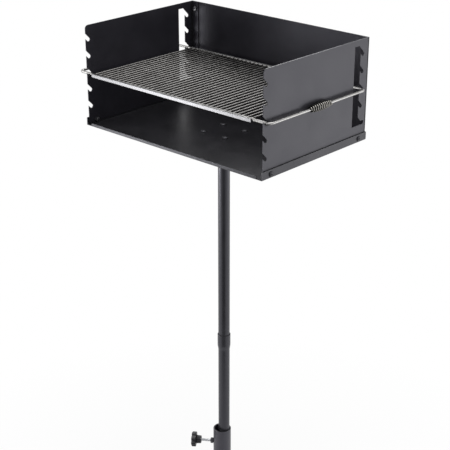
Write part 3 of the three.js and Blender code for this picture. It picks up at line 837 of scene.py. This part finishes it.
def cut_socket(obj, place):
    """Sinks a hexagon socket in the top of a screw's head."""
    corners = [
        on_circle(SCREW_SOCKET_RADIUS, math.tau * k / HEX_SIDES, z)
        for z in (-SCREW_SOCKET_DEPTH, SCREW_SOCKET_DEPTH)
        for k in range(HEX_SIDES)
    ]
    faces = band_faces(2, HEX_SIDES) + end_faces(2, HEX_SIDES)
    cutter = mesh_object("socket_cutter", corners, faces, place)
    cut = obj.modifiers.new("socket", "BOOLEAN")
    cut.operation = "DIFFERENCE"
    cut.solver = "EXACT"
    cut.object = cutter
    bpy.context.view_layer.update()
    graph = bpy.context.evaluated_depsgraph_get()
    result = bpy.data.meshes.new_from_object(obj.evaluated_get(graph))
    obj.modifiers.clear()
    obj.data = result
    bpy.data.objects.remove(cutter, do_unlink=True)


def nut_mesh(corner_radius, height, bore_radius):
    """A hexagon nut about Z from 0 to its height, with chamfered corners and a countersunk bore."""
    half_angle = math.pi / HEX_SIDES
    flats_radius = corner_radius * math.cos(half_angle)
    face_radius = flats_radius * NUT_FACE_SHARE
    slope = math.tan(math.radians(NUT_CHAMFER_ANGLE))
    mouth_radius = bore_radius * NUT_MOUTH_SHARE
    sink = mouth_radius - bore_radius
    sections = []
    for k in range(NUT_SIDES):
        angle = math.tau * k / NUT_SIDES
        within = (angle + half_angle) % (2 * half_angle) - half_angle
        hex_radius = flats_radius / math.cos(half_angle - abs(within))
        drop = (hex_radius - face_radius) * slope
        profile = (
            (bore_radius, sink),
            (mouth_radius, 0),
            (face_radius, 0),
            (hex_radius, drop),
            (hex_radius, height - drop),
            (face_radius, height),
            (mouth_radius, height),
            (bore_radius, height - sink),
        )
        sections.append([on_circle(radius, angle, z) for radius, z in profile])
    rings = list(zip(*sections))
    verts = [point for ring in rings for point in ring]
    return verts, band_faces(len(rings), NUT_SIDES, looped=True)


def nut_piece(node, axis, bore_radius, material, body):
    """A chamfered nut over its CAD node, turned as that is."""
    middle, low, high = extent_along(node, axis)
    corner = corner_of(node, middle, axis)
    shell = nut_mesh(corner.length, high - low, bore_radius)
    obj = joined(f"{node}_turned", [shell], frame_along(middle + axis * low, axis, corner))
    return finished(obj, material, body, (node,))


def fasteners():
    """Screws and nuts of the fire box and the bolts of the pole flange."""
    for side_name, outward in (("left", -RIGHT), ("right", RIGHT)):
        for place_name, axis in (
            ("front_side", outward),
            ("rear_side", outward),
            ("lower_back", REAR),
            ("upper_back", REAR),
        ):
            node = f"{side_name}_{place_name}"
            screw_piece(f"{node}_bolt", axis, SHEET_SCREW, True)
            nut_piece(f"{node}_nut", axis, SHEET_SCREW["nut_bore"], NUT_STEEL, "fire_box")
    for number in range(1, FLANGE_SCREW_COUNT + 1):
        screw_piece(f"flange_bolt_{number}", UP, FLANGE_SCREW, False)
        nut_piece(f"flange_nut_{number}", UP, FLANGE_SCREW["nut_bore"], BLACK_STEEL, "fire_box")


# Fire box


def fire_box():
    """Folded sheets of the fire box and the plate under it."""
    dressed("firebox_tray", TRAY_COAT, "fire_box", SHEET_BEVEL)
    for node in ("left_side_panel", "right_side_panel", "back_panel"):
        dressed(node, BOX_COAT, "fire_box", SHEET_BEVEL)
    dressed("pole_flange", POLE_COAT, "fire_box", FLANGE_BEVEL)


# Grate


def grate_loop_path(low, high):
    """Centre line of the closed rod, a rectangle with bent corners."""
    centre = (low + high) / 2
    half_x = (high.x - low.x) / 2 - ROD_RADIUS - ROD_BEND
    half_y = (high.y - low.y) / 2 - ROD_RADIUS - ROD_BEND
    path = []
    for quarter, (side_x, side_y) in enumerate(((1, 1), (-1, 1), (-1, -1), (1, -1))):
        pivot = centre + Vector((side_x * half_x, side_y * half_y, 0))
        for step in range(ROD_BEND_STEPS + 1):
            angle = (quarter + step / ROD_BEND_STEPS) * QUARTER_TURN
            path.append(pivot + on_circle(ROD_BEND, angle))
    return path


def weld_spot(point):
    """A squat lump of weld at a crossing of bar and rod."""
    profile = [(0, -WELD_SPOT_RADIUS)]
    for i in range(1, WELD_SPOT_STEPS):
        angle = math.pi * i / WELD_SPOT_STEPS
        profile.append((WELD_SPOT_RADIUS * math.sin(angle), -WELD_SPOT_RADIUS * math.cos(angle)))
    profile.append((0, WELD_SPOT_RADIUS))
    verts, faces = turned(profile, WELD_SPOT_SIDES)
    squat = Matrix.Diagonal(WELD_SPOT_SQUAT_SHARES)
    return [point + squat @ v for v in verts], faces


def cooking_grate():
    """The bright rod loop, and the bars across it with the weld spots at their ends."""
    low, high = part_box("cooking_grate")
    centre = (low + high) / 2
    rod = swept(grate_loop_path(low, high), ROD_RADIUS, ROD_SIDES, closed=True)
    loop = joined("cooking_grate_loop", [rod])
    finished(loop, PLATED_ROD, "grate", ("cooking_grate",))
    front_y, rear_y = low.y + ROD_RADIUS, high.y - ROD_RADIUS
    spot_inset = ROD_RADIUS * WELD_SPOT_INSET_SHARE
    bar_z = centre.z + BAR_RISE
    spot_z = bar_z - BAR_RADIUS * WELD_SPOT_DROP_SHARE
    parts = []
    for i in range(BAR_COUNT):
        x = centre.x + (i - (BAR_COUNT - 1) / 2) * BAR_PITCH
        path = []
        for step in range(BAR_STEPS + 1):
            path.append(Vector((x, front_y + (rear_y - front_y) * step / BAR_STEPS, bar_z)))
        parts.append(swept(path, BAR_RADIUS, BAR_SIDES))
        for y in (front_y + spot_inset, rear_y - spot_inset):
            parts.append(weld_spot(Vector((x, y, spot_z))))
    bars = joined("cooking_grate_bars", parts)
    finished(bars, SMOKED_BAR, "grate", ("cooking_grate",))


def stitch_weld(centre):
    """A short rippled run of weld along X with tapered ends."""
    verts = []
    for row in range(FRAME_WELD_ROWS):
        share = row / (FRAME_WELD_ROWS - 1)
        x = (share - 0.5) * FRAME_WELD_LENGTH
        rise = math.sin(math.pi * share) ** FRAME_WELD_TAPER_POWER
        taper = FRAME_WELD_END_SHARE + (1 - FRAME_WELD_END_SHARE) * rise
        ripple = 1 + FRAME_WELD_RIPPLE_SHARE * math.sin(share * FRAME_WELD_RIPPLE_ANGLE)
        swell = FRAME_WELD_RADIUS * taper * ripple
        height = swell * FRAME_WELD_HEIGHT_SHARE
        for k in range(FRAME_WELD_SIDES):
            angle = math.tau * k / FRAME_WELD_SIDES
            verts.append(centre + Vector((x, swell * math.cos(angle), height * math.sin(angle))))
    faces = band_faces(FRAME_WELD_ROWS, FRAME_WELD_SIDES)
    return verts, faces + end_faces(FRAME_WELD_ROWS, FRAME_WELD_SIDES)


def frame_bars():
    """The flat bars along the front and rear runs of the rod, and the stitch welds that hold them."""
    rod_low, rod_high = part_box("cooking_grate")
    runs = {"front_frame_bar": rod_low.y + ROD_RADIUS, "rear_frame_bar": rod_high.y - ROD_RADIUS}
    welds = []
    for node, run_y in runs.items():
        dressed(node, PLATED_FLAT, "grate", FRAME_BAR_BEVEL)
        low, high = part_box(node)
        outward = -1 if high.y < run_y else 1
        y = run_y + outward * ROD_RADIUS
        z = high.z - FRAME_WELD_RADIUS * FRAME_WELD_SINK_SHARE
        count = int((high.x - low.x - FRAME_WELD_LENGTH * 2) / FRAME_WELD_PITCH) + 1
        for i in range(count):
            x = (low.x + high.x) / 2 + (i - (count - 1) / 2) * FRAME_WELD_PITCH
            welds.append(stitch_weld(Vector((x, y, z))))
    finished(joined("frame_bar_welds", welds), PLATED_ROD, "grate")


def coil_grip(side_name):
    """A wire wound as a barrel about the side rod, tight on the rod at both ends."""
    node = f"{side_name}_coil_grip"
    low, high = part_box(node)
    rod_low, rod_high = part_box("cooking_grate")
    rod_x = rod_low.x + ROD_RADIUS if side_name == "left" else rod_high.x - ROD_RADIUS
    centre = Vector((rod_x, (low.y + high.y) / 2, (rod_low.z + rod_high.z) / 2))
    end_radius = ROD_RADIUS + GRIP_END_GAP + WIRE_RADIUS
    swell = GRIP_RADIUS - WIRE_RADIUS - end_radius
    length = GRIP_TURNS * GRIP_PITCH
    steps = GRIP_TURNS * GRIP_TURN_STEPS
    path = []
    for i in range(steps + 1):
        share = i / steps
        y = (share - 0.5) * length
        radius = end_radius + swell * math.sin(math.pi * share) ** GRIP_FULLNESS
        angle = math.tau * i / GRIP_TURN_STEPS
        path.append(centre + Vector((radius * math.cos(angle), y, radius * math.sin(angle))))
    obj = joined(f"{side_name}_coil_wire", [swept(path, WIRE_RADIUS, WIRE_SIDES)])
    finished(obj, COIL_WIRE, "grate", (node,))


# Pole


def weld_bead(name, centre, inner_radius, leg, body, upward):
    """A rippled fillet weld round a tube, in the corner above or below a plate."""
    ripples = round(math.tau * inner_radius / WELD_RIPPLE_PITCH)
    foot = inner_radius - WELD_OVERLAP
    verts = []
    for k in range(WELD_ROWS):
        angle = math.tau * k / WELD_ROWS
        size = (leg + WELD_RIPPLE_DEPTH * math.sin(ripples * angle)) * WELD_FIT_SHARE
        for j in range(WELD_FACE_POINTS):
            turn = QUARTER_TURN * j / (WELD_FACE_POINTS - 1)
            radius = inner_radius + size * (1 - math.sin(turn))
            verts.append(centre + on_circle(radius, angle, upward * size * (1 - math.cos(turn))))
        verts.append(centre + on_circle(foot, angle, upward * leg * WELD_FIT_SHARE))
        verts.append(centre + on_circle(foot, angle))
    around = len(verts) // WELD_ROWS
    obj = mesh_object(name, verts, band_faces(WELD_ROWS, around, looped=True))
    return finished(obj, POLE_COAT, body)


def tube_piece(node, name, profile, body):
    """A turned tube over its CAD node."""
    low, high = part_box(node)
    place = Matrix.Translation(((low.x + high.x) / 2, (low.y + high.y) / 2, 0))
    obj = joined(name, [turned(profile, ROUND_SIDES)], place)
    return finished(obj, POLE_COAT, body, (node,))


def upper_tube(radius, bore):
    """The upper tube, and the weld that holds it under the pole flange."""
    low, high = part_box("upper_pole_tube")
    profile = [
        (bore, low.z + TUBE_EDGE),
        (bore + TUBE_EDGE, low.z),
        (radius - TUBE_EDGE, low.z),
        (radius, low.z + TUBE_EDGE),
        (radius, high.z),
        (bore, high.z),
    ]
    tube_piece("upper_pole_tube", "upper_pole", profile, "fire_box")
    flange_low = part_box("pole_flange")[0]
    middle = Vector(((low.x + high.x) / 2, (low.y + high.y) / 2, flange_low.z))
    weld_bead("pole_flange_weld", middle, radius, PLATE_WELD, "fire_box", -1)


def lower_tube(radius, bore):
    """The lower tube, swaged out at its top to a bell with a rounded lip."""
    low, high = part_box("lower_pole_tube")
    bell = (high.x - low.x) / 2
    bell_bore = bell - BELL_WALL
    taper_top = high.z - BELL_LENGTH
    taper_bottom = taper_top - BELL_TAPER
    profile = [
        (bore + TUBE_EDGE, low.z),
        (radius - TUBE_EDGE, low.z),
        (radius, low.z + TUBE_EDGE),
        (radius, taper_bottom),
    ]
    for i in range(1, BELL_TAPER_STEPS):
        share = i / BELL_TAPER_STEPS
        ease = (1 - math.cos(math.pi * share)) / 2
        profile.append((radius + (bell - radius) * ease, taper_bottom + BELL_TAPER * share))
    profile += [(bell, taper_top), (bell, high.z - BELL_LIP_START)]
    lip = BELL_WALL * BELL_LIP_SHARE
    for i in range(1, BELL_LIP_STEPS + 1):
        turn = QUARTER_TURN * i / BELL_LIP_STEPS
        profile.append((bell - lip + lip * math.cos(turn), high.z - lip + lip * math.sin(turn)))
    profile += [
        (bell_bore, high.z - BELL_LIP_INNER),
        (bell_bore, taper_top),
        (bore, taper_bottom),
        (bore, low.z + TUBE_EDGE),
    ]
    tube_piece("lower_pole_tube", "lower_pole_with_bell", profile, "lower_pole")


def ground_sleeve():
    """The sleeve on its base plate, with the weld between them."""
    dressed("ground_sleeve", SLEEVE_COAT, "ground", SLEEVE_BEVEL)
    dressed("sleeve_base_plate", SLEEVE_COAT, "ground", FLANGE_BEVEL)
    low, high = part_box("ground_sleeve")
    radius = (high.x - low.x) / 2
    plate_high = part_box("sleeve_base_plate")[1]
    weld_bead("base_plate_weld", Vector((0, 0, plate_high.z)), radius, BASE_WELD, "ground", 1)


def pole():
    """Upper and lower tube of one diameter, and the sleeve that they stand in."""
    low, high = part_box("upper_pole_tube")
    radius = (high.x - low.x) / 2
    bore = radius - TUBE_WALL
    upper_tube(radius, bore)
    lower_tube(radius, bore)
    ground_sleeve()


# Clamp


def helical_thread(radius, depth, pitch, start, end):
    """Points and faces of a screw thread about Z, tapering off at both ends."""
    rows = int((end - start) / pitch * THREAD_TURN_ROWS)
    fade_rows = THREAD_TURN_ROWS * THREAD_FADE_TURNS
    verts = []
    for row in range(rows + 1):
        z = start + (end - start) * row / rows
        fade = min(1, row / fade_rows, (rows - row) / fade_rows)
        for k in range(THREAD_SIDES):
            phase = (z / pitch - k / THREAD_SIDES) % 1
            ridge = min(1, THREAD_FLANK_SLOPE * min(phase, 1 - phase))
            reach = radius - depth + depth * ridge * fade
            verts.append(on_circle(reach, math.tau * k / THREAD_SIDES, z))
    faces = band_faces(rows + 1, THREAD_SIDES)
    return verts, faces + end_faces(rows + 1, THREAD_SIDES)


def knob_outline(inset):
    """Radius of the lobed rim at each step round it."""
    count = KNOB_LOBES * KNOB_LOBE_STEPS
    radii = []
    for i in range(count):
        angle = math.tau * i / count
        dip = KNOB_VALLEY * math.sin(KNOB_LOBES * angle / 2) ** KNOB_VALLEY_POWER
        radii.append(KNOB_RADIUS - dip - inset)
    return radii


def knob_hub_rows(count):
    """Radii and height of each row up the ribbed hub, from its throat to the rim."""
    rows = [
        ([STEM_RADIUS + KNOB_THROAT_GAP] * count, KNOB_THROAT_DEPTH),
        ([STEM_RADIUS + KNOB_THROAT_FLARE] * count, 0),
    ]
    for height_share in KNOB_HUB_HEIGHT_SHARES:
        valley = KNOB_HUB_RADIUS - KNOB_HUB_DRAFT * (1 - height_share) - KNOB_RIB
        radii = []
        for i in range(count):
            wave = 0.5 + 0.5 * math.cos(KNOB_LOBES * 2 * math.tau * i / count)
            rib = KNOB_RIB * wave ** KNOB_RIB_POWER
            radii.append(valley + rib if height_share > 0 else valley - KNOB_HUB_EDGE)
        rows.append((radii, KNOB_HUB_LENGTH * height_share))
    return rows


def knob_rim_rows(bottom, top):
    """Outline and height of each row up the lobed rim, which is rounded at both edges."""
    bend = []
    for i in range(KNOB_EDGE_STEPS + 1):
        turn = QUARTER_TURN * i / KNOB_EDGE_STEPS
        bend.append((KNOB_EDGE * (1 - math.sin(turn)), KNOB_EDGE * (1 - math.cos(turn))))
    rows = [(knob_outline(inset), bottom + rise) for inset, rise in bend]
    rows += [(knob_outline(inset), top - drop) for drop, inset in bend]
    return rows


def knob_dish_rows(count, top):
    """Radii and height of each row from the rim's flat into the dished cap."""
    edge = KNOB_RADIUS * KNOB_DISH_SHARE
    steps = (
        (edge + KNOB_DISH_LIP, 0),
        (edge, KNOB_DISH_LIP_DROP),
        (edge - KNOB_DISH_WALL, KNOB_DISH_DEPTH),
        (edge / 2, KNOB_DISH_DEPTH * KNOB_DISH_CROWN_SHARES[0]),
    )
    return [([radius] * count, top - drop) for radius, drop in steps]


def knob_mesh():
    """Lobed rim with rounded edges and a dished cap, on a ribbed hub."""
    count = KNOB_LOBES * KNOB_LOBE_STEPS
    top = KNOB_HUB_LENGTH + KNOB_RIM_LENGTH
    rows = knob_hub_rows(count) + knob_rim_rows(KNOB_HUB_LENGTH, top) + knob_dish_rows(count, top)
    verts = []
    for radii, z in rows:
        verts += [on_circle(radius, math.tau * i / count, z) for i, radius in enumerate(radii)]
    faces = band_faces(len(rows), count)
    last = len(verts) - count
    cap, throat = len(verts), len(verts) + 1
    verts.append(Vector((0, 0, top - KNOB_DISH_DEPTH * KNOB_DISH_CROWN_SHARES[1])))
    verts.append(Vector((0, 0, KNOB_THROAT_DEPTH)))
    for i in range(count):
        after = (i + 1) % count
        faces.append([last + i, last + after, cap])
        faces.append([after, i, throat])
    return verts, faces


def clamp():
    """Nut welded to the sleeve, threaded stem and lobed knob, all on one axis."""
    bearing = math.radians(CLAMP_BEARING)
    axis = Vector((math.cos(bearing), math.sin(bearing), 0))
    place = frame_along(Vector((0, 0, CLAMP_HEIGHT)), axis, UP)
    nut_piece("clamp_nut", axis, STEM_RADIUS + CLAMP_NUT_PLAY, POLE_COAT, "ground")
    thread = helical_thread(STEM_RADIUS, STEM_THREAD_DEPTH, STEM_PITCH, STEM_START, STEM_END)
    stem = joined("clamp_thread", [thread], place)
    finished(stem, ZINC_THREAD, "clamp_screw", ("clamp_stem",))
    knob = joined("clamp_star_knob", [knob_mesh()], place @ Matrix.Translation((0, 0, KNOB_REACH)))
    finished(knob, KNOB_PLASTIC, "clamp_handle", ("clamp_knob",))


# Studio


def shader_mix(tree, share, first, second):
    """Output of a Mix Shader node, whose share is that of the second shader."""
    mix = tree.nodes.new("ShaderNodeMixShader")
    for socket, value in zip(mix.inputs, (share, first, second)):
        tree.links.new(value, socket)
    return mix.outputs[0]


def white_seen_by_camera(tree, shown, own):
    """Mixes two shaders: shown for camera, glossy and transmission rays, own for the rest."""
    rays = tree.nodes.new("ShaderNodeLightPath")
    seen = math_node(tree, "MAXIMUM", rays.outputs["Is Camera Ray"], rays.outputs["Is Glossy Ray"])
    seen = math_node(tree, "MAXIMUM", seen, rays.outputs["Is Transmission Ray"])
    return shader_mix(tree, seen, own, shown)


def studio_world():
    """White backdrop for the eye and for reflections, over an even grey sky."""
    world = bpy.data.worlds.new("studio")
    bpy.context.scene.world = world
    world.use_nodes = True
    tree = world.node_tree
    sky = tree.nodes["Background"]
    backdrop = tree.nodes.new("ShaderNodeBackground")
    for shader, level in ((sky, SKY_LEVEL), (backdrop, 1.0)):
        shader.inputs["Color"].default_value = (1, 1, 1, 1)
        shader.inputs["Strength"].default_value = level
    mixed = white_seen_by_camera(tree, backdrop.outputs[0], sky.outputs[0])
    tree.links.new(mixed, tree.nodes["World Output"].inputs["Surface"])


def studio_floor():
    """A pale floor that keeps the grill's shadow near the pole and is white farther off."""
    rim = [
        Matrix.Rotation(math.tau * k / FLOOR_SIDES, 4, "Z") @ (RIGHT * FLOOR_RADIUS)
        for k in range(FLOOR_SIDES)
    ]
    floor = mesh_object("studio_floor", rim, [list(range(FLOOR_SIDES))])
    material, shader = new_material("pale_studio_floor")
    tree = material.node_tree
    shader.inputs["Base Color"].default_value = (FLOOR_TONE, FLOOR_TONE, FLOOR_TONE, 1)
    shader.inputs["Roughness"].default_value = FLOOR_ROUGHNESS
    glow = tree.nodes.new("ShaderNodeEmission")
    glow.inputs["Strength"].default_value = 1.0
    place = tree.nodes.new("ShaderNodeTexCoord")
    length = vector_node(tree, "LENGTH", place.outputs["Object"])
    share = remap(tree, length.outputs["Value"], FLOOR_FADE_START, FLOOR_FADE_END, FLOOR_WHITE_SHARE)
    blend = shader_mix(tree, share, shader.outputs[0], glow.outputs[0])
    mixed = white_seen_by_camera(tree, blend, shader.outputs[0])
    tree.links.new(mixed, tree.nodes["Material Output"].inputs["Surface"])
    floor.data.materials.append(material)


def front_flag():
    """A dark card on the floor before the grill, seen only in its coats, where it deepens reflections."""
    middle = math.radians(CAMERA_BEARING + FLAG_TURN)
    spread = math.radians(FLAG_HALF_ANGLE)
    angles = [middle + spread * (2 * k / FLAG_STEPS - 1) for k in range(FLAG_STEPS + 1)]
    corners = [on_circle(FLAG_NEAR, angle, FLAG_LIFT) for angle in angles]
    corners += [on_circle(FLAG_FAR, angle, FLAG_LIFT) for angle in reversed(angles)]
    flag = mesh_object("front_flag", corners, [list(range(len(corners)))])
    material, shader = new_material("black_card")
    shader.inputs["Base Color"].default_value = (FLAG_TONE, FLAG_TONE, FLAG_TONE, 1)
    shader.inputs["Roughness"].default_value = FLAG_ROUGHNESS
    flag.data.materials.append(material)
    flag.visible_camera = False
    flag.visible_diffuse = False
    flag.visible_shadow = False


def soft_boxes():
    """Large square lamps aimed at the grill."""
    for name, place, target, size, power in SOFT_BOXES:
        lamp = bpy.data.lights.new(name, "AREA")
        lamp.shape = "SQUARE"
        lamp.size = size
        lamp.energy = power
        obj = linked_object(name, lamp)
        obj.location = place
        aim = Vector(target) - Vector(place)
        obj.rotation_euler = aim.to_track_quat("-Z", "Y").to_euler()
        obj.visible_camera = False


def camera():
    """The photograph's viewpoint."""
    data = bpy.data.cameras.new("camera")
    data.lens = CAMERA_LENS
    data.sensor_width = CAMERA_SENSOR
    data.clip_end = CAMERA_FAR_LIMIT
    obj = linked_object("camera", data)
    obj.location = CAMERA_PLACE
    obj.rotation_euler = (math.radians(CAMERA_TILT), 0, math.radians(CAMERA_TURN))
    bpy.context.scene.camera = obj


camera()
studio_world()
studio_floor()
front_flag()
soft_boxes()
fire_box()
fasteners()
cooking_grate()
frame_bars()
coil_grip("left")
coil_grip("right")
pole()
clamp()
bpy.context.scene.view_settings.view_transform = "Standard"
